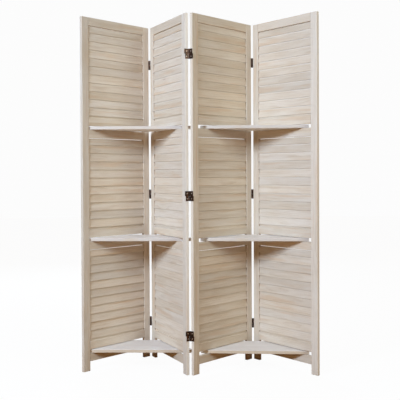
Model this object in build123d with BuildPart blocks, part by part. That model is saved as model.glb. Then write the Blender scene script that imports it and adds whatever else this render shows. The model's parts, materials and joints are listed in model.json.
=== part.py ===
from build123d import *
import os

# Folding screen of four louvred panels with six shelf boards, in millimetres and degrees.
# The floor is at height zero and the front is towards -Y. The origin lies under the middle of the screen.

os.makedirs("parts", exist_ok=True)

# Whole screen, as it stands half folded
screen_height = 1700.0
panel_width = 460.0
panel_thickness = 15.0
panel_turns = (50.0, -66.0, 50.0, -53.5)

# Frame of a panel
stile_width = 42.0
rail_height = 40.0
foot_height = 46.0
slot_height = 18.0
section_names = ("low", "middle", "upper")
frame_bevel = 1.5

# Louvre of a section. A lip on the rail below closes the view under the last slat.
slats_per_section = 11
top_reveal = 34.0
top_gap = 2.2
closing_reveal = 9.0
slat_thickness = 3.4
slat_spacing = 1.2
slat_lap = 8.0
slat_set_back = 1.5
slat_fit = 0.2
housing_depth = 5.0
housing_room_below = 4.0

# Shelf boards, loose in the slots
shelf_front = 520.0
shelf_back = 150.0
shelf_depth = 235.0
shelf_thickness = 15.0
shelf_corner = 3.0
shelf_bevel = 1.0
shelf_play = 0.3
left_shelf_turn = -2.0
left_shelf_reach = 320.0
left_shelf_shift = -14.0
right_shelf_turn = -4.0
right_shelf_reach = 283.5
right_shelf_shift = 11.0

# Hinges, three on each fold line
hinge_height = 47.0
low_hinge_height = 184.0
middle_hinge_drop = 7.0
upper_hinge_depth = 191.0
leaf_thickness = 1.6
leaf_tab = 4.0
knuckle_radius = 3.6
knuckle_spacing = 0.4
pin_radius = 1.5
pin_fit = 0.05
pin_beyond_end = 2.0
pin_off_face = 4.0

# Cutting tools reach this far past the wood that they cut
overrun = 1.0

# Heights that follow from the sizes above
section_count = len(section_names)
pair_height = 2 * rail_height + slot_height
opening_height = (screen_height - foot_height - rail_height - section_count * pair_height) / section_count
pair_bottoms = [foot_height + level * (pair_height + opening_height) for level in range(section_count)]
opening_bottoms = [bottom + pair_height for bottom in pair_bottoms]
shelf_bottoms = [bottom + rail_height + shelf_play for bottom in pair_bottoms]
hinge_centres = (low_hinge_height, screen_height / 2 - middle_hinge_drop, screen_height - upper_hinge_depth)
slat_pitch = (opening_height - top_reveal - closing_reveal) / (slats_per_section - 1)
slat_slope = (slat_thickness + slat_spacing) / slat_pitch
rail_length = panel_width - 2 * stile_width
lip_depth = panel_thickness - slat_set_back - slat_thickness - slat_spacing
lip_height = closing_reveal + slat_lap

# Depths of the fold pins, measured from a panel's front face to its rear
front_pin_depth = -pin_off_face
rear_pin_depth = panel_thickness + pin_off_face


# Plan of the zig-zag: each panel has a plane at the floor, with x along it, y to its rear and z up
def panel_ending_at(pin, turn, pin_depth):
    panel = Plane.XY.rotated((0, 0, turn))
    panel.origin = pin - panel.x_dir * (panel_width + pin_beyond_end) - panel.y_dir * pin_depth
    return panel


def panel_starting_at(pin, turn, pin_depth):
    panel = Plane.XY.rotated((0, 0, turn))
    panel.origin = pin + panel.x_dir * pin_beyond_end - panel.y_dir * pin_depth
    return panel


def plan_point(panel, along, depth):
    return panel.from_local_coords(Vector(along, depth, 0))


def zigzag_from(centre_pin):
    second = panel_ending_at(centre_pin, panel_turns[1], rear_pin_depth)
    third = panel_starting_at(centre_pin, panel_turns[2], rear_pin_depth)
    left_pin = plan_point(second, -pin_beyond_end, front_pin_depth)
    right_pin = plan_point(third, panel_width + pin_beyond_end, front_pin_depth)
    first = panel_ending_at(left_pin, panel_turns[0], front_pin_depth)
    fourth = panel_starting_at(right_pin, panel_turns[3], front_pin_depth)
    return (first, second, third, fourth), (left_pin, centre_pin, right_pin)


# Where the tabs of the hinge leaves stand out past a face, they may be the outermost points in plan
def outermost_points(panels):
    points = []
    for panel in panels:
        for along, inward in ((0, 1), (panel_width, -1)):
            for depth, into in ((0, 1), (panel_thickness, -1)):
                points.append(plan_point(panel, along + inward * frame_bevel, depth))
                points.append(plan_point(panel, along, depth + into * frame_bevel))
    rear_tab_depth = panel_thickness + leaf_tab
    front_tab_depth = -leaf_tab
    first, second, third, fourth = panels
    for panel, along, depth in (
        (first, panel_width, rear_tab_depth),
        (second, 0, rear_tab_depth),
        (second, panel_width, front_tab_depth),
        (third, 0, front_tab_depth),
        (third, panel_width, rear_tab_depth),
        (fourth, 0, rear_tab_depth),
    ):
        outward = leaf_thickness if along > 0 else -leaf_thickness
        points.append(plan_point(panel, along, depth))
        points.append(plan_point(panel, along + outward, depth))
    return points


def middle_of(points):
    reach_x = [point.X for point in points]
    reach_y = [point.Y for point in points]
    return Vector((min(reach_x) + max(reach_x)) / 2, (min(reach_y) + max(reach_y)) / 2, 0)


trial_panels, trial_pins = zigzag_from(Vector(0, 0, 0))
panels, fold_pins = zigzag_from(-middle_of(outermost_points(trial_panels)))


# Upright plane across a panel, with x to the rear and y up, so that extrusions run along the panel
def cross_plane(panel, along):
    return Plane(origin=plan_point(panel, along, 0), x_dir=panel.y_dir, z_dir=panel.x_dir)


# Outline of a slat in that plane: its lower edge stands forward. Room widens it into a housing, which may
# also run on below it.
def slat_outline(low, high, room, room_below):
    low_depth = slat_set_back - slat_slope * room_below
    top_depth = slat_set_back + slat_slope * (high - low)
    return (
        (low_depth - room, low - room_below),
        (low_depth + slat_thickness + room, low - room_below),
        (top_depth + slat_thickness + room, high + room),
        (top_depth - room, high + room),
    )


def section_outlines(opening_bottom, room, room_below):
    outlines = []
    opening_top = opening_bottom + opening_height
    for index in range(slats_per_section):
        low = opening_top - top_reveal - index * slat_pitch
        high = min(low + slat_pitch + slat_lap, opening_top - top_gap)
        outlines.append(slat_outline(low, high, room, room_below))
    return outlines


def export_part(part, name):
    part.label = name
    export_step(part, f"parts/{name}.step")


# Stile with its slat housings, cut from the side that faces the louvre
def make_stile(panel, is_left, name):
    start = 0 if is_left else panel_width - stile_width
    cut_start = stile_width - housing_depth if is_left else start - overrun
    with BuildPart() as stile:
        with BuildSketch(panel) as section:
            with Locations((start + stile_width / 2, panel_thickness / 2)):
                Rectangle(stile_width, panel_thickness)
            chamfer(section.vertices(), frame_bevel)
        extrude(amount=screen_height)
        chamfer(stile.faces().sort_by(Axis.Z)[0].edges(), frame_bevel)
        chamfer(stile.faces().sort_by(Axis.Z)[-1].edges(), frame_bevel)
        with BuildSketch(cross_plane(panel, cut_start)):
            for opening_bottom in opening_bottoms:
                for outline in section_outlines(opening_bottom, slat_fit, housing_room_below):
                    Polygon(*outline, align=None)
        extrude(amount=housing_depth + overrun, mode=Mode.SUBTRACT)
    export_part(stile.part, name)


# Rail across the top of a panel
def make_top_rail(panel, name):
    with BuildPart() as rail:
        with BuildSketch(cross_plane(panel, stile_width)) as section:
            with Locations((panel_thickness / 2, screen_height - rail_height / 2)):
                Rectangle(panel_thickness, rail_height)
            chamfer(section.vertices(), frame_bevel)
        extrude(amount=rail_length)
    export_part(rail.part, name)


# Two rails with the open slot between them. The upper one carries the lip behind the last slat.
def make_rail_pair(panel, bottom, name):
    lower_middle = (panel_thickness / 2, bottom + rail_height / 2)
    upper_middle = (panel_thickness / 2, bottom + pair_height - rail_height / 2)
    lip_middle = (panel_thickness - lip_depth / 2, bottom + pair_height + (lip_height - frame_bevel) / 2)
    with BuildPart() as rails:
        with BuildSketch(cross_plane(panel, stile_width)) as section:
            with Locations(lower_middle, upper_middle):
                Rectangle(panel_thickness, rail_height)
            chamfer(section.vertices(), frame_bevel)
            with Locations(lip_middle):
                Rectangle(lip_depth, lip_height + frame_bevel)
        extrude(amount=rail_length)
    export_part(rails.part, name)


# Slats of one section, each a solid of its own that ends in the housings of both stiles
def make_louvre(panel, opening_bottom, name):
    reach = housing_depth - slat_fit
    with BuildPart() as louvre:
        with BuildSketch(cross_plane(panel, stile_width - reach)):
            for outline in section_outlines(opening_bottom, 0, 0):
                Polygon(*outline, align=None)
        extrude(amount=rail_length + 2 * reach)
    export_part(louvre.part, name)


# Shelf board: the middle of its front edge lies in front of the fold pin of its bay
def make_shelf(pin, turn, reach, shift, bottom, name):
    board = Plane.XY.rotated((0, 0, turn))
    board.origin = pin + board.x_dir * shift - board.y_dir * reach
    with BuildPart() as shelf:
        with BuildSketch(board.offset(bottom)) as outline:
            with BuildLine():
                Polyline(
                    (-shelf_front / 2, 0),
                    (shelf_front / 2, 0),
                    (shelf_back / 2, shelf_depth),
                    (-shelf_back / 2, shelf_depth),
                    close=True,
                )
            make_face()
            chamfer(outline.vertices(), shelf_corner)
        extrude(amount=shelf_thickness)
        edges = shelf.edges().group_by(Axis.Z)
        chamfer(edges[0] + edges[-1], shelf_bevel)
    export_part(shelf.part, name)


# Leaves of the lift-off hinges on one end of a panel. The left leaf has the upper knuckle, which is bored.
# The right leaf has the lower knuckle, with the pin fixed in it. A short tab stands out on the far side.
def make_leaves(panel, is_right_end, pin_depth, name):
    outward = 1 if is_right_end else -1
    end = panel_width if is_right_end else 0
    pin_place = (end + outward * pin_beyond_end, pin_depth)
    plate_along = end + outward * leaf_thickness / 2
    near_face = 0 if pin_depth < 0 else panel_thickness
    far_tab_middle = panel_thickness + leaf_tab / 2 if pin_depth < 0 else -leaf_tab / 2
    knuckle_height = (hinge_height - knuckle_spacing) / 2
    with BuildPart() as leaves:
        for centre in hinge_centres:
            base = centre - hinge_height / 2
            top = centre + hinge_height / 2
            knuckle_base = top - knuckle_height if is_right_end else base
            with BuildSketch(panel.offset(base)):
                with Locations((plate_along, panel_thickness / 2)):
                    Rectangle(leaf_thickness, panel_thickness)
            extrude(amount=hinge_height)
            with BuildSketch(panel.offset(knuckle_base)):
                with Locations((plate_along, (near_face + pin_depth) / 2)):
                    Rectangle(leaf_thickness, abs(near_face - pin_depth))
                with Locations((plate_along, far_tab_middle)):
                    Rectangle(leaf_thickness, leaf_tab)
                with Locations(pin_place):
                    Circle(knuckle_radius)
                if is_right_end:
                    with Locations(pin_place):
                        Circle(pin_radius + pin_fit, mode=Mode.SUBTRACT)
            extrude(amount=knuckle_height)
            if not is_right_end:
                with BuildSketch(panel.offset(base + knuckle_height)):
                    with Locations(pin_place):
                        Circle(pin_radius)
                extrude(amount=hinge_height - knuckle_height)
    export_part(leaves.part, name)


for number, panel in enumerate(panels, start=1):
    make_stile(panel, True, f"panel_{number}_left_stile")
    make_stile(panel, False, f"panel_{number}_right_stile")
    make_top_rail(panel, f"panel_{number}_top_rail")
    for level, section_name in enumerate(section_names):
        make_rail_pair(panel, pair_bottoms[level], f"panel_{number}_{section_name}_rails")
        make_louvre(panel, opening_bottoms[level], f"panel_{number}_{section_name}_louvre")

left_pin, centre_pin, right_pin = fold_pins
for side, pin, turn, reach, shift in (
    ("left", left_pin, left_shelf_turn, left_shelf_reach, left_shelf_shift),
    ("right", right_pin, right_shelf_turn, right_shelf_reach, right_shelf_shift),
):
    for bottom, section_name in zip(shelf_bottoms, section_names):
        make_shelf(pin, turn, reach, shift, bottom, f"{side}_{section_name}_shelf")

for fold_name, left_panel, right_panel, pin_depth in (
    ("left", panels[0], panels[1], front_pin_depth),
    ("centre", panels[1], panels[2], rear_pin_depth),
    ("right", panels[2], panels[3], front_pin_depth),
):
    make_leaves(left_panel, True, pin_depth, f"{fold_name}_fold_bored_leaves")
    make_leaves(right_panel, False, pin_depth, f"{fold_name}_fold_pinned_leaves")
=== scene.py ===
# Folding screen with shelves: looks, camera and light around the CAD model, in metres with +Z up
import json
import math

import bmesh
import bpy
from mathutils import Matrix, Vector


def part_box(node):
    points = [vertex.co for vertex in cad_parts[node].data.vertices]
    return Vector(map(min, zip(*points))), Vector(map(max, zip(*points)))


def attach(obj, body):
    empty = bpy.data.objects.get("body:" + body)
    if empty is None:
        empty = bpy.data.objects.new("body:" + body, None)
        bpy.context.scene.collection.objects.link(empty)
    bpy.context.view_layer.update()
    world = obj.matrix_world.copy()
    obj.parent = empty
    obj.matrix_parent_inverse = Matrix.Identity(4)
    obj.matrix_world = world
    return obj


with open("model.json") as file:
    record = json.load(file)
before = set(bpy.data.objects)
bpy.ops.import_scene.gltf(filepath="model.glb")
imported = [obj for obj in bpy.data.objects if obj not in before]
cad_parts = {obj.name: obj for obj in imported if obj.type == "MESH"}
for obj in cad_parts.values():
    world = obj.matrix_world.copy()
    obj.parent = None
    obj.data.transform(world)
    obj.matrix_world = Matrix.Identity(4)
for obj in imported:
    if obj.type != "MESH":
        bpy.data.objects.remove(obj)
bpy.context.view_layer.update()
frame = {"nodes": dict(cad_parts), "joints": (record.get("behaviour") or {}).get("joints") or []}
NODES = frame["nodes"]

# Sizes of the CAD model that the materials and the screws go by, in metres and degrees
PANEL_TURNS = (50.0, -66.0, 50.0, -53.5)
PANEL_WIDTH = 0.460
PANEL_THICKNESS = 0.015
STILE_WIDTH = 0.042
RAIL_PITCH = 0.058
SECTIONS = ("low", "middle", "upper")
SECTION_PITCH = 0.538
OPENING_TOP = 0.584
TOP_REVEAL = 0.034
SLATS_PER_SECTION = 11
SLAT_PITCH = 0.0397
SLAT_LAP = 0.008
SHELF_TURNS = {"left": -2.0, "right": -4.0}
PIN_BEYOND_END = 0.002
PIN_OFF_FACE = 0.004
HINGE_CENTRES = (0.184, 0.843, 1.509)
LEAF_THICKNESS = 0.0016
UPWARD = Vector((0, 0, 1))


# Directions of a panel: along it, and to its rear
def panel_axes(number):
    angle = math.radians(PANEL_TURNS[number - 1])
    return Vector((math.cos(angle), math.sin(angle), 0)), Vector((-math.sin(angle), math.cos(angle), 0))


# Where each panel stands: the left end of its front face, found from the fold joints of the frame
def panel_origins():
    pins = {joint["name"]: Vector((joint["pos_m"][0], joint["pos_m"][1], 0))
            for joint in frame["joints"] if joint["type"] == "hinge"}
    origins = []
    for number, pin_name in enumerate(("left_fold", "left_fold", "right_fold", "right_fold"), start=1):
        along, rearward = panel_axes(number)
        is_pinned_at_right_end = number % 2 == 1
        start = -(PANEL_WIDTH + PIN_BEYOND_END) if is_pinned_at_right_end else PIN_BEYOND_END
        origins.append(pins[pin_name] + along * start + rearward * PIN_OFF_FACE)
    return origins


PANEL_ORIGINS = panel_origins()

# Camera, fitted to the photograph. The focal length and the centre row are in its pixels.
PICTURE_PIXELS = 400.0
FOCAL_PIXELS = 837.86
CENTRE_ROW = 186.37
SENSOR_WIDTH = 36.0
CAMERA_PLACE = (0.00632, -4.1300, 0.9510)
CAMERA_PITCH = 0.01596
CAMERA_ROLL = 0.00494
CLIP_START = 0.05
CLIP_END = 60.0


def make_camera():
    forward = Vector((0, math.cos(CAMERA_PITCH), -math.sin(CAMERA_PITCH)))
    level_up = Vector((0, math.sin(CAMERA_PITCH), math.cos(CAMERA_PITCH)))
    level_right = Vector((1, 0, 0))
    right = level_right * math.cos(CAMERA_ROLL) - level_up * math.sin(CAMERA_ROLL)
    up = level_right * math.sin(CAMERA_ROLL) + level_up * math.cos(CAMERA_ROLL)
    data = bpy.data.cameras.new("camera")
    data.sensor_width = SENSOR_WIDTH
    data.lens = FOCAL_PIXELS * SENSOR_WIDTH / PICTURE_PIXELS
    data.shift_y = (CENTRE_ROW - PICTURE_PIXELS / 2) / PICTURE_PIXELS
    data.clip_start = CLIP_START
    data.clip_end = CLIP_END
    camera = bpy.data.objects.new("camera", data)
    turn = Matrix((right, up, -forward)).transposed()
    camera.matrix_world = Matrix.Translation(Vector(CAMERA_PLACE)) @ turn.to_4x4()
    bpy.context.scene.collection.objects.link(camera)
    bpy.context.scene.camera = camera


make_camera()


# Small helpers for node trees
class Tree:
    def __init__(self, tree):
        self.tree = tree

    def put(self, socket, value):
        if isinstance(value, bpy.types.NodeSocket):
            self.tree.links.new(value, socket)
        else:
            socket.default_value = value

    def add(self, kind, inputs=None, **settings):
        made = self.tree.nodes.new(kind)
        for key, value in settings.items():
            setattr(made, key, value)
        for key, value in (inputs or {}).items():
            self.put(made.inputs[key], value)
        return made

    def math(self, operation, a, b=0.0, c=0.0):
        return self.add("ShaderNodeMath", {0: a, 1: b, 2: c}, operation=operation).outputs[0]

    def vector(self, operation, a, b=(0.0, 0.0, 0.0)):
        return self.add("ShaderNodeVectorMath", {0: a, 1: b}, operation=operation).outputs[0]

    def length(self, a):
        return self.add("ShaderNodeVectorMath", {0: a}, operation="LENGTH").outputs["Value"]

    def combine(self, x, y, z):
        return self.add("ShaderNodeCombineXYZ", {0: x, 1: y, 2: z}).outputs[0]

    def split(self, vector):
        made = self.add("ShaderNodeSeparateXYZ", {0: vector})
        return made.outputs[0], made.outputs[1], made.outputs[2]

    # A noise of a place that is stretched by three scales, as a number and as a colour
    def noise(self, place, scales, detail=2.0, roughness=0.5):
        inputs = {"Vector": self.vector("MULTIPLY", place, scales), "Scale": 1.0, "Detail": detail,
                  "Roughness": roughness}
        made = self.add("ShaderNodeTexNoise", inputs)
        return made.outputs["Fac"], made.outputs["Color"]

    def remap(self, value, from_low, from_high, to_low=0.0, to_high=1.0):
        inputs = {0: value, 1: from_low, 2: from_high, 3: to_low, 4: to_high}
        return self.add("ShaderNodeMapRange", inputs, interpolation_type="SMOOTHSTEP").outputs[0]

    def mix(self, factor, a, b, blend="MIX"):
        made = self.add("ShaderNodeMix", data_type="RGBA", blend_type=blend, clamp_factor=True)
        for socket, value in ((made.inputs[0], factor), (made.inputs[6], a), (made.inputs[7], b)):
            self.put(socket, value)
        return made.outputs[2]

    # The surface of a material, with its relief
    def finish(self, color, roughness, height, relief, metallic=0.0):
        strength, depth = relief
        bump = self.add("ShaderNodeBump", {"Strength": strength, "Distance": depth, "Height": height})
        inputs = {"Base Color": color, "Roughness": roughness, "Metallic": metallic,
                  "Normal": bump.outputs[0]}
        shader = self.add("ShaderNodeBsdfPrincipled", inputs)
        self.add("ShaderNodeOutputMaterial", {0: shader.outputs[0]})


def new_material(name):
    material = bpy.data.materials.new(name)
    material.use_nodes = True
    material.node_tree.nodes.clear()
    return material, Tree(material.node_tree)


# Colours of the wood, of what lies on it, and of the painted light and shade on it
PALE = (0.745, 0.645, 0.525, 1)
EARLY = (0.68, 0.575, 0.445, 1)
LATE = (0.50, 0.36, 0.23, 1)
KNOT = (0.31, 0.19, 0.11, 1)
STAIN = (0.66, 0.45, 0.27, 1)
WARM_TINT = (1.0, 0.955, 0.885, 1)
PLAIN_TINT = (1.0, 0.99, 0.975, 1)
WASH = (0.80, 0.735, 0.65, 1)
# Painted light that lifts the shade in the corners and on the undersides of the slats
CORNER_PAINTED_LIGHT = (0.85, 0.77, 0.67, 1)
STILE_WASH = (0.88, 0.82, 0.73, 1)
# Painted shade in the recesses where the slats run into the stiles
GROOVE_PAINTED_SHADE = (0.42, 0.27, 0.15, 1)
BOARD_PAINT = (0.87, 0.84, 0.825, 1)
# Paint of the shelf fronts, darker than on the tops as painted shade against the key light
FRONT_PAINT_WITH_PAINTED_SHADE = (0.62, 0.55, 0.49, 1)
TAN_FRONT_EDGE = (0.63, 0.49, 0.34, 1)

# Metres by which a random pick moves a piece through the wood
RANDOM_SHIFTS = (7.0, 3.0, 5.0)

# Features per metre along the grain and across it
WANDER_SCALES = (1.9, 6.0, 6.0)
RIPPLE_SCALES = (9.0, 120.0, 120.0)
FIBRE_SCALES = (14.0, 620.0, 620.0)
PORE_SCALES = (55.0, 1500.0, 1500.0)
CLOUD_SCALES = (3.2, 26.0, 26.0)
WASH_SCALES = (5.5, 60.0, 60.0)
STAIN_SCALES = (2.3, 38.0, 38.0)
KNOT_SCALES = (3.4, 17.0, 17.0)

# Growth rings, in metres. The ripple, the rise and the fall are in shares of a ring.
RING_WIDTH = 0.0058
RING_RIPPLE = 0.55
PITH_WANDER_Y = 0.034
PITH_WANDER_Z = 0.020
PITH_DEPTH = 0.012
PITH_DEPTH_RANGE = 0.05
PITH_SIDE = -0.03
PITH_SIDE_RANGE = 0.06
RING_RISE = (0.35, 0.93)
RING_FALL = (1.0, 0.95)

# Ranges of each noise that count, and how much of its colour each one lays on
CLOUD_RANGE = (0.30, 0.70)
LATE_CLOUD_RANGE = (0.25, 0.80)
LATE_SHARES = (0.18, 0.60)
FIBRE_RANGE = (0.45, 0.78)
FIBRE_SHARE = 0.30
PORE_RANGE = (0.60, 0.72)
PORE_SHARE = 0.22
KNOT_CHANCE_FROM = 0.80
KNOT_RANGE = (0.10, 0.03)
KNOT_SHARE = 0.62
HALO_RANGE = (0.30, 0.08)
HALO_SHARE = 0.30
WASH_RANGE = (0.30, 0.75)
WASH_SHARES = (0.10, 0.62)
STAIN_RANGE = (0.53, 0.70)
STAIN_SHARE = 0.46
VALUE_SHARES = (0.90, 1.03)
ROUGH_FIBRE_RANGE = (0.2, 0.8)
WOOD_ROUGHNESS = (0.52, 0.72)
FIBRE_HEIGHT = 0.6
PORE_HEIGHT = 0.8
LATE_HEIGHT = 0.35


# Late wood of growth rings about a pith that wanders, so that straight grain opens into arches
def late_wood(t, place, shifted, random):
    _, y, z = t.split(place)
    _, random_y, random_z = t.split(random)
    wander = t.vector("SUBTRACT", t.noise(shifted, WANDER_SCALES)[1], (0.5, 0.5, 0.5))
    _, wander_y, wander_z = t.split(wander)
    pith_y = t.math("ADD", t.math("MULTIPLY_ADD", wander_y, PITH_WANDER_Y, y),
                    t.math("MULTIPLY_ADD", random_y, PITH_DEPTH_RANGE, PITH_DEPTH))
    pith_z = t.math("ADD", t.math("MULTIPLY_ADD", wander_z, PITH_WANDER_Z, z),
                    t.math("MULTIPLY_ADD", random_z, PITH_SIDE_RANGE, PITH_SIDE))
    radius = t.length(t.combine(0.0, pith_y, pith_z))
    ripple = t.noise(shifted, RIPPLE_SCALES, 3.0, 0.6)[0]
    ring = t.math("FRACT", t.math("MULTIPLY_ADD", ripple, RING_RIPPLE, t.math("DIVIDE", radius, RING_WIDTH)))
    return t.math("MULTIPLY", t.remap(ring, *RING_RISE), t.remap(ring, *RING_FALL))


# A knot here and there, with a halo of darker wood
def knots(t, shifted):
    place = t.vector("MULTIPLY", shifted, KNOT_SCALES)
    cell = t.add("ShaderNodeTexVoronoi", {"Vector": place, "Scale": 1.0})
    chosen = t.math("GREATER_THAN", t.split(cell.outputs["Color"])[0], KNOT_CHANCE_FROM)
    knot = t.math("MULTIPLY", t.remap(cell.outputs["Distance"], *KNOT_RANGE), chosen)
    halo = t.math("MULTIPLY", t.remap(cell.outputs["Distance"], *HALO_RANGE), chosen)
    return knot, halo


# Whitewashed wood, for a place with x along the grain and z across the face, and three random numbers
def wood_group():
    group = bpy.data.node_groups.new("whitewashed_wood", "ShaderNodeTree")
    for name in ("Place", "Random"):
        group.interface.new_socket(name, in_out="INPUT", socket_type="NodeSocketVector")
    group.interface.new_socket("Color", in_out="OUTPUT", socket_type="NodeSocketColor")
    for name in ("Roughness", "Height"):
        group.interface.new_socket(name, in_out="OUTPUT", socket_type="NodeSocketFloat")
    t = Tree(group)
    source = t.add("NodeGroupInput")
    place, random = source.outputs[0], source.outputs[1]
    random_x, random_y, _ = t.split(random)
    shifted = t.vector("ADD", place, t.vector("MULTIPLY", random, RANDOM_SHIFTS))

    late = late_wood(t, place, shifted, random)
    knot, halo = knots(t, shifted)
    fibre = t.noise(shifted, FIBRE_SCALES, 4.0, 0.65)[0]
    pore = t.remap(t.noise(shifted, PORE_SCALES)[0], *PORE_RANGE)
    cloud = t.noise(shifted, CLOUD_SCALES, 3.0, 0.55)[0]
    wash = t.noise(shifted, WASH_SCALES, 4.0, 0.62)[0]
    stain = t.noise(shifted, STAIN_SCALES, 3.0, 0.6)[0]

    color = t.mix(t.remap(cloud, *CLOUD_RANGE), PALE, EARLY)
    color = t.mix(t.math("MULTIPLY", late, t.remap(cloud, *LATE_CLOUD_RANGE, *LATE_SHARES)), color, LATE)
    color = t.mix(t.math("MULTIPLY", t.remap(fibre, *FIBRE_RANGE), FIBRE_SHARE), color, LATE)
    color = t.mix(t.math("MULTIPLY", halo, HALO_SHARE), color, LATE)
    color = t.mix(t.math("MULTIPLY", knot, KNOT_SHARE), color, KNOT)
    color = t.mix(t.math("MULTIPLY", pore, PORE_SHARE), color, KNOT)
    color = t.mix(t.remap(wash, *WASH_RANGE, *WASH_SHARES), color, WASH)
    color = t.mix(t.math("MULTIPLY", t.remap(stain, *STAIN_RANGE), STAIN_SHARE), color, STAIN)
    color = t.mix(1.0, color, t.mix(random_x, WARM_TINT, PLAIN_TINT), "MULTIPLY")
    value = t.remap(random_y, 0.0, 1.0, *VALUE_SHARES)
    color = t.mix(1.0, color, t.combine(value, value, value), "MULTIPLY")

    rough = t.remap(fibre, *ROUGH_FIBRE_RANGE, *WOOD_ROUGHNESS)
    height = t.math("SUBTRACT", t.math("MULTIPLY", fibre, FIBRE_HEIGHT),
                    t.math("MULTIPLY", pore, PORE_HEIGHT))
    height = t.math("MULTIPLY_ADD", late, LATE_HEIGHT, height)
    t.add("NodeGroupOutput", {0: color, 1: rough, 2: height})
    return group


WOOD = wood_group()

# Strength of a relief, and its depth in metres
WOOD_RELIEF = (0.35, 0.00035)
BRONZE_RELIEF = (0.25, 0.0002)
SCREW_RELIEF = (0.2, 0.0001)

# Where the bands begin that give each rail and each louvre section its own index, and the seeds of the picks
RAIL_BANDS_FROM = 0.037
LOUVRE_BANDS_FROM = 0.095
STILE_SEED = 0.25
RAIL_SEED = 20.25
SLAT_SEED = 40.25
SHELF_SEED = 60.25
SECTION_STEP = 20.0
LEVEL_STEP = 9.0

# Painted shade on the inner edges of a stile: it takes in the housings, and stops short of the faces
HOUSING_REACH = 0.006
FACE_MARGIN = 0.0014
STILE_WASH_SHARE = 0.30
GROOVE_SHADE_SHARE = 0.85

LOWEST_SLAT_FOOT = OPENING_TOP - TOP_REVEAL - SLATS_PER_SECTION * SLAT_PITCH

# A slat lies in front of this slanted line, and the slat under it behind
LAP_LINE_DEPTH = 0.0055
LAP_LINE_SLOPE = 0.1159
LAP_MARGIN = 0.001

# Painted light in the corners and on the undersides of the slats, lifting the shade there: how high on a
# slat, on which faces, and how much by height of the screen
PAINTED_LIGHT_FROM = 0.0335
PAINTED_LIGHT_TO = 0.0395
UNDERSIDE_PAINTED_LIGHT_RANGE = (-0.3, -0.7)
PAINTED_LIGHT_HEIGHTS = (0.45, 1.30)
PAINTED_LIGHT_SHARES = (0.15, 0.95)

# Strips of the shelf boards, the painted shade on their front faces, and their worn front edges
STRIP_WIDTH = 0.062
FRONT_FACING = -0.8
WEAR_SCALES = (4.5, 3.7, 1.0)
WEAR_RANGE = (0.52, 0.68)
BOARD_COVER = 0.64
FRONT_EXTRA_COVER = 0.06


# Place of a point: x along a piece that is turned, y to its rear, z up
def place_in(t, origin, turn):
    local = t.vector("SUBTRACT", t.add("ShaderNodeTexCoord").outputs["Object"], tuple(origin))
    inputs = {"Vector": local, "Angle": -math.radians(turn)}
    return t.split(t.add("ShaderNodeVectorRotate", inputs, rotation_type="Z_AXIS").outputs[0])


def place_in_panel(t, number):
    return place_in(t, PANEL_ORIGINS[number - 1], PANEL_TURNS[number - 1])


def normal_parts(t):
    return t.split(t.add("ShaderNodeTexCoord").outputs["Normal"])


def finish_wood(t, place, index, seed, colour_overlay=None):
    pick = t.combine(index, seed, 0.5)
    random = t.add("ShaderNodeTexWhiteNoise", {"Vector": pick}, noise_dimensions="3D").outputs["Color"]
    wood = t.add("ShaderNodeGroup", {}, node_tree=WOOD)
    t.put(wood.inputs[0], place)
    t.put(wood.inputs[1], random)
    color = wood.outputs["Color"]
    if colour_overlay is not None:
        color = t.mix(colour_overlay[0], color, colour_overlay[1])
    t.finish(color, wood.outputs["Roughness"], wood.outputs["Height"], WOOD_RELIEF)


# Stiles have their grain upright. The left and the right one are two pieces, and the right one is whiter.
def stile_material(number):
    material, t = new_material(f"stile_wood_{number}")
    x, y, z = place_in_panel(t, number)
    is_right = t.math("GREATER_THAN", x, PANEL_WIDTH / 2)
    across = t.math("SUBTRACT", t.math("SUBTRACT", x, STILE_WIDTH / 2),
                    t.math("MULTIPLY", is_right, PANEL_WIDTH - STILE_WIDTH))
    # Painted shade: the edges that the slats run into, and their housings, are darkened where shade falls in
    # the recess
    from_middle = t.math("ABSOLUTE", t.math("SUBTRACT", x, PANEL_WIDTH / 2))
    beside_slats = t.math("LESS_THAN", from_middle, PANEL_WIDTH / 2 - STILE_WIDTH + HOUSING_REACH)
    behind_front = t.math("GREATER_THAN", y, FACE_MARGIN)
    before_back = t.math("LESS_THAN", y, PANEL_THICKNESS - FACE_MARGIN)
    darkened_edge = t.math("MULTIPLY", beside_slats, t.math("MULTIPLY", behind_front, before_back))
    cover = t.math("MAXIMUM", t.math("MULTIPLY", is_right, STILE_WASH_SHARE),
                   t.math("MULTIPLY", darkened_edge, GROOVE_SHADE_SHARE))
    colour_overlay = (cover, t.mix(darkened_edge, STILE_WASH, GROOVE_PAINTED_SHADE))
    finish_wood(t, t.combine(z, y, across), is_right, number + STILE_SEED, colour_overlay)
    return material


# Rails: one random pick for each height
def rail_material(number):
    material, t = new_material(f"rail_wood_{number}")
    x, y, z = place_in_panel(t, number)
    index = t.math("FLOOR", t.math("DIVIDE", t.math("SUBTRACT", z, RAIL_BANDS_FROM), RAIL_PITCH))
    across = t.math("SUBTRACT", z, t.math("MULTIPLY", index, RAIL_PITCH))
    finish_wood(t, t.combine(x, y, across), index, number + RAIL_SEED)
    return material


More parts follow.
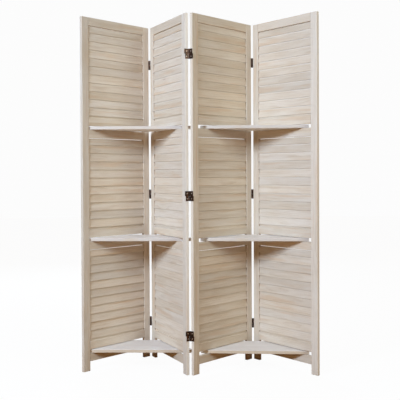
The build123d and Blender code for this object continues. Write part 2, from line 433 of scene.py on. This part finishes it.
# Slats: each one is picked by its height, and near its top also by its depth, where it lies behind the next
def slat_material(number):
    material, t = new_material(f"slat_wood_{number}")
    x, y, z = place_in_panel(t, number)
    section = t.math("FLOOR", t.math("DIVIDE", t.math("SUBTRACT", z, LOUVRE_BANDS_FROM), SECTION_PITCH))
    in_section = t.math("SUBTRACT", t.math("SUBTRACT", z, t.math("MULTIPLY", section, SECTION_PITCH)),
                        LOWEST_SLAT_FOOT)
    steps = t.math("DIVIDE", in_section, SLAT_PITCH)
    above = t.math("MULTIPLY", t.math("FRACT", steps), SLAT_PITCH)
    behind = t.math("GREATER_THAN", y, t.math("MULTIPLY_ADD", above, LAP_LINE_SLOPE, LAP_LINE_DEPTH))
    lapped = t.math("MULTIPLY", t.math("LESS_THAN", above, SLAT_LAP + LAP_MARGIN), behind)
    index = t.math("SUBTRACT", t.math("FLOOR", steps), lapped)
    across = t.math("SUBTRACT", in_section, t.math("MULTIPLY", index, SLAT_PITCH))
    whole_index = t.math("MULTIPLY_ADD", section, SECTION_STEP, index)
    # Painted light: the corner under the next slat and the undersides are lightened to lift their shade, and
    # more so higher up
    _, _, facing_up = normal_parts(t)
    painted_light_mask = t.math("MAXIMUM", t.remap(across, PAINTED_LIGHT_FROM, PAINTED_LIGHT_TO),
                    t.remap(facing_up, *UNDERSIDE_PAINTED_LIGHT_RANGE))
    painted_light_by_height = t.remap(z, *PAINTED_LIGHT_HEIGHTS, *PAINTED_LIGHT_SHARES)
    colour_overlay = (t.math("MULTIPLY", painted_light_mask, painted_light_by_height), CORNER_PAINTED_LIGHT)
    finish_wood(t, t.combine(x, y, across), whole_index, number + SLAT_SEED, colour_overlay)
    return material


# Shelf boards are glued up from strips. Their front faces get a darker paint than the tops, a painted shade
# against the key light that falls full on them. The front edges are worn to tan in places, and tan all along
# on the low boards.
def shelf_material(side):
    material, t = new_material(f"{side}_shelf_wood")
    low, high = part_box(f"{side}_low_shelf")
    middle = ((low.x + high.x) / 2, (low.y + high.y) / 2, 0)
    x, y, z = place_in(t, middle, SHELF_TURNS[side])
    level = t.math("FLOOR", t.math("DIVIDE", z, SECTION_PITCH))
    strip = t.math("FLOOR", t.math("DIVIDE", y, STRIP_WIDTH))
    across = t.math("SUBTRACT", y, t.math("MULTIPLY", strip, STRIP_WIDTH))
    thick = t.math("SUBTRACT", z, t.math("MULTIPLY", level, SECTION_PITCH))
    index = t.math("MULTIPLY_ADD", level, LEVEL_STEP, strip)
    _, facing_back, _ = normal_parts(t)
    front = t.math("LESS_THAN", facing_back, FRONT_FACING)
    worn = t.noise(t.combine(x, level, 0.0), WEAR_SCALES)[0]
    darkened_edge = t.math("MAXIMUM", t.math("LESS_THAN", level, 0.5), t.remap(worn, *WEAR_RANGE))
    cover = t.math("MULTIPLY_ADD", front, FRONT_EXTRA_COVER, BOARD_COVER)
    colour_overlay = (cover, t.mix(front, BOARD_PAINT, t.mix(darkened_edge, FRONT_PAINT_WITH_PAINTED_SHADE, TAN_FRONT_EDGE)))
    finish_wood(t, t.combine(x, thick, across), index, SHELF_SEED + SHELF_TURNS[side], colour_overlay)
    return material


BRONZE_DARK = (0.040, 0.022, 0.014, 1)
BRONZE_WORN = (0.20, 0.085, 0.045, 1)
BRONZE_GRIT = (0.28, 0.15, 0.09, 1)
BRONZE_PATCH_SCALES = (130.0, 130.0, 90.0)
BRONZE_GRIT_SCALES = (1400.0, 1400.0, 1400.0)
BRONZE_GRIT_RANGE = (0.5, 0.8)
BRONZE_GRIT_SHARE = 0.35
BRONZE_PATCH_RANGE = (0.48, 0.72)
BRONZE_SHEEN_RANGE = (0.3, 0.75)
BRONZE_ROUGHNESS = (0.50, 0.32)
BRONZE_METALLIC = 0.85


# Dark bronze with coppery wear
def bronze_material():
    material, t = new_material("dark_bronze")
    place = t.add("ShaderNodeTexCoord").outputs["Object"]
    patch = t.noise(place, BRONZE_PATCH_SCALES, 4.0, 0.6)[0]
    grit = t.noise(place, BRONZE_GRIT_SCALES)[0]
    color = t.mix(t.remap(patch, *BRONZE_PATCH_RANGE), BRONZE_DARK, BRONZE_WORN)
    gritty = t.math("MULTIPLY", t.remap(grit, *BRONZE_GRIT_RANGE), BRONZE_GRIT_SHARE)
    rough = t.remap(patch, *BRONZE_SHEEN_RANGE, *BRONZE_ROUGHNESS)
    t.finish(t.mix(gritty, color, BRONZE_GRIT), rough, grit, BRONZE_RELIEF, BRONZE_METALLIC)
    return material


SCREW_DARK = (0.30, 0.19, 0.12, 1)
SCREW_BRIGHT = (0.78, 0.66, 0.54, 1)
SCREW_RUB_SCALES = (700.0, 700.0, 700.0)
SCREW_RUB_RANGE = (0.38, 0.62)
SCREW_SHEEN_RANGE = (0.35, 0.65)
SCREW_ROUGHNESS = (0.50, 0.30)
SCREW_METALLIC = 0.9


# Metal of the screws, rubbed bright in places
def screw_material():
    material, t = new_material("worn_screw")
    place = t.add("ShaderNodeTexCoord").outputs["Object"]
    rub = t.noise(place, SCREW_RUB_SCALES, 3.0, 0.6)[0]
    color = t.mix(t.remap(rub, *SCREW_RUB_RANGE), SCREW_DARK, SCREW_BRIGHT)
    rough = t.remap(rub, *SCREW_SHEEN_RANGE, *SCREW_ROUGHNESS)
    t.finish(color, rough, rub, SCREW_RELIEF, SCREW_METALLIC)
    return material


def dress(name, material):
    node = NODES[name]
    if not node.material_slots:
        node.data.materials.append(material)
    for material_slot in node.material_slots:
        material_slot.material = material


WELD_DISTANCE = 0.00001
FLAT_ANGLE = math.radians(0.5)
ARRIS_ANGLE = math.radians(25)
SLAT_ARRIS = 0.0014
SLAT_ARRIS_STEPS = 3
SHELF_ARRIS = 0.0006
SHELF_ARRIS_STEPS = 2


# Arrises: the render rounds the edges of the CAD model, after its flat faces are joined up
def soften(name, width, steps):
    node = NODES[name]
    weld = node.modifiers.new("weld", "WELD")
    weld.merge_threshold = WELD_DISTANCE
    join = node.modifiers.new("join_flat_faces", "DECIMATE")
    join.decimate_type = "DISSOLVE"
    join.angle_limit = FLAT_ANGLE
    bevel = node.modifiers.new("arris", "BEVEL")
    bevel.width = width
    bevel.segments = steps
    bevel.limit_method = "ANGLE"
    bevel.angle_limit = ARRIS_ANGLE
    bevel.harden_normals = True
    bevel.use_clamp_overlap = True


for number in (1, 2, 3, 4):
    stile, rail, slat = stile_material(number), rail_material(number), slat_material(number)
    for side in ("left", "right"):
        dress(f"panel_{number}_{side}_stile", stile)
    dress(f"panel_{number}_top_rail", rail)
    for section_name in SECTIONS:
        dress(f"panel_{number}_{section_name}_rails", rail)
        dress(f"panel_{number}_{section_name}_louvre", slat)
        soften(f"panel_{number}_{section_name}_louvre", SLAT_ARRIS, SLAT_ARRIS_STEPS)
for side in ("left", "right"):
    shelf = shelf_material(side)
    for section_name in SECTIONS:
        dress(f"{side}_{section_name}_shelf", shelf)
        soften(f"{side}_{section_name}_shelf", SHELF_ARRIS, SHELF_ARRIS_STEPS)
BRONZE = bronze_material()
for fold in ("left", "centre", "right"):
    for leaf in ("bored", "pinned"):
        dress(f"{fold}_fold_{leaf}_leaves", BRONZE)

# Screw heads: heights about the middle of a leaf, then rings from the middle of the head outwards
SCREW = screw_material()
SCREW_RISES = (-0.0125, 0.0125)
SCREW_PROUD = 0.00024
SCREW_RINGS = (
    (0.0002, SCREW_PROUD),
    (0.0005, SCREW_PROUD),
    (0.0017, SCREW_PROUD),
    (0.0026, 0.00018),
    (0.0029, 0.0),
)
SCREW_SIDES = 32
RECESS_ARMS = 4
RECESS_ARM_STEPS = 2
RECESS_REACH = 0.0018
RECESS_FLOOR = 0.00006
SPIN_BY_PANEL = 0.7
SPIN_BY_HEIGHT = 3.1
SPIN_BY_ORDER = 0.9


# One head, a hair proud of its leaf, with a cross recess
def add_screw(builder, middle, outward, rearward, spin):
    rings = []
    for radius, proud in SCREW_RINGS:
        ring = []
        for step in range(SCREW_SIDES):
            angle = 2 * math.pi * step / SCREW_SIDES + spin
            in_arm = radius < RECESS_REACH and step % (SCREW_SIDES // RECESS_ARMS) < RECESS_ARM_STEPS
            height = RECESS_FLOOR if in_arm else proud
            spoke = rearward * math.cos(angle) + UPWARD * math.sin(angle)
            ring.append(builder.verts.new(middle + outward * height + spoke * radius))
        rings.append(ring)
    builder.faces.new(rings[0])
    for inner, outer in zip(rings, rings[1:]):
        for step in range(SCREW_SIDES):
            after = (step + 1) % SCREW_SIDES
            builder.faces.new((inner[step], inner[after], outer[after], outer[step]))
    builder.faces.new(list(reversed(rings[-1])))


# The screws of the leaves at one end of a panel
def make_screws(name, number, is_right_end, body):
    along, rearward = panel_axes(number)
    outward = along if is_right_end else -along
    end = PANEL_WIDTH + LEAF_THICKNESS if is_right_end else -LEAF_THICKNESS
    face = PANEL_ORIGINS[number - 1] + along * end + rearward * (PANEL_THICKNESS / 2)
    builder = bmesh.new()
    for centre in HINGE_CENTRES:
        for order, rise in enumerate(SCREW_RISES):
            spin = number * SPIN_BY_PANEL + centre * SPIN_BY_HEIGHT + order * SPIN_BY_ORDER
            add_screw(builder, face + UPWARD * (centre + rise), outward, rearward, spin)
    bmesh.ops.recalc_face_normals(builder, faces=builder.faces)
    mesh = bpy.data.meshes.new(name)
    builder.to_mesh(mesh)
    builder.free()
    mesh.materials.append(SCREW)
    piece = bpy.data.objects.new(name, mesh)
    bpy.context.scene.collection.objects.link(piece)
    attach(piece, body)


for fold, number, bored_body, pinned_body in (
    ("left", 1, "left_outer_panel", "left_inner_panel"),
    ("centre", 2, "left_inner_panel", "right_inner_panel"),
    ("right", 3, "right_inner_panel", "right_outer_panel"),
):
    make_screws(f"{fold}_fold_bored_leaf_screws", number, True, bored_body)
    make_screws(f"{fold}_fold_pinned_leaf_screws", number + 1, False, pinned_body)

FLOOR_REACH = 14.0
FLOOR_BOUNCE = (0.40, 0.22, 0.09, 1)
FLOOR_FAINT = (0.03, 0.03, 0.03, 1)
FLOOR_GLOW = (0.962, 0.962, 0.962, 1)


# One shader for the camera and another for all other light
def seen_or_lit(t, lit, seen):
    path = t.add("ShaderNodeLightPath").outputs["Is Camera Ray"]
    return t.add("ShaderNodeMixShader", {0: path, 1: lit.outputs[0], 2: seen.outputs[0]}).outputs[0]


# The camera sees a white floor with faint shadows. Its bounce on the screen is warm and weaker.
def make_floor():
    mesh = bpy.data.meshes.new("floor")
    builder = bmesh.new()
    bmesh.ops.create_grid(builder, x_segments=1, y_segments=1, size=FLOOR_REACH)
    builder.to_mesh(mesh)
    builder.free()
    floor = bpy.data.objects.new("floor", mesh)
    bpy.context.scene.collection.objects.link(floor)
    material, t = new_material("pale_floor")
    bounce = t.add("ShaderNodeBsdfDiffuse", {"Color": FLOOR_BOUNCE})
    faint = t.add("ShaderNodeBsdfDiffuse", {"Color": FLOOR_FAINT})
    glow = t.add("ShaderNodeEmission", {"Color": FLOOR_GLOW, "Strength": 1.0})
    seen = t.add("ShaderNodeAddShader", {0: faint.outputs[0], 1: glow.outputs[0]})
    t.add("ShaderNodeOutputMaterial", {0: seen_or_lit(t, bounce, seen)})
    mesh.materials.append(material)


make_floor()

# Square lights that face the screen: name, place, side, and watts of red, green and blue
LIGHT_TARGET = (0.0, 0.0, 0.9)
LIGHTS = (
    ("key", (-2.2, -3.35, 2.25), 0.8, (119.0, 152.0, 198.0)),
    ("second", (2.7, -2.9, 2.5), 1.6, (48.0, 56.0, 56.0)),
    ("rear", (-1.2, 3.9, 2.5), 1.6, (92.0, 112.0, 138.0)),
)


def make_light(name, place, size, watts):
    data = bpy.data.lights.new(name, "AREA")
    data.energy = max(watts)
    data.color = [part / max(watts) for part in watts]
    data.shape = "RECTANGLE"
    data.size = size
    data.size_y = size
    light = bpy.data.objects.new(name, data)
    light.location = place
    light.rotation_euler = (Vector(LIGHT_TARGET) - Vector(place)).to_track_quat("-Z", "Y").to_euler()
    bpy.context.scene.collection.objects.link(light)


for light_name, place, size, watts in LIGHTS:
    make_light(light_name, place, size, watts)

# Soft light from three sides: direction, then red, green and blue
SKY_LIGHTS = (
    ((0.0, -1.0, 0.0), (0.10, 0.04, 0.02)),
    ((0.0, 1.0, 0.0), (0.10, 0.10, 0.10)),
    ((0.0, 0.0, 1.0), (0.34, 0.24, 0.14)),
)
SKY_SEEN = (0.975, 0.975, 0.975, 1)


def make_world():
    world = bpy.data.worlds.new("studio")
    bpy.context.scene.world = world
    world.use_nodes = True
    world.node_tree.nodes.clear()
    t = Tree(world.node_tree)
    looked_at = t.add("ShaderNodeTexCoord").outputs["Generated"]
    total = (0.0, 0.0, 0.0)
    for direction, color in SKY_LIGHTS:
        facing = t.add("ShaderNodeVectorMath", {0: looked_at, 1: direction}, operation="DOT_PRODUCT")
        share = t.math("MAXIMUM", facing.outputs["Value"], 0.0)
        total = t.vector("ADD", total, t.vector("MULTIPLY", t.combine(share, share, share), color))
    lit = t.add("ShaderNodeBackground", {"Color": total, "Strength": 1.0})
    seen = t.add("ShaderNodeBackground", {"Color": SKY_SEEN, "Strength": 1.0})
    t.add("ShaderNodeOutputWorld", {0: seen_or_lit(t, lit, seen)})


make_world()
bpy.context.scene.view_settings.view_transform = "Standard"
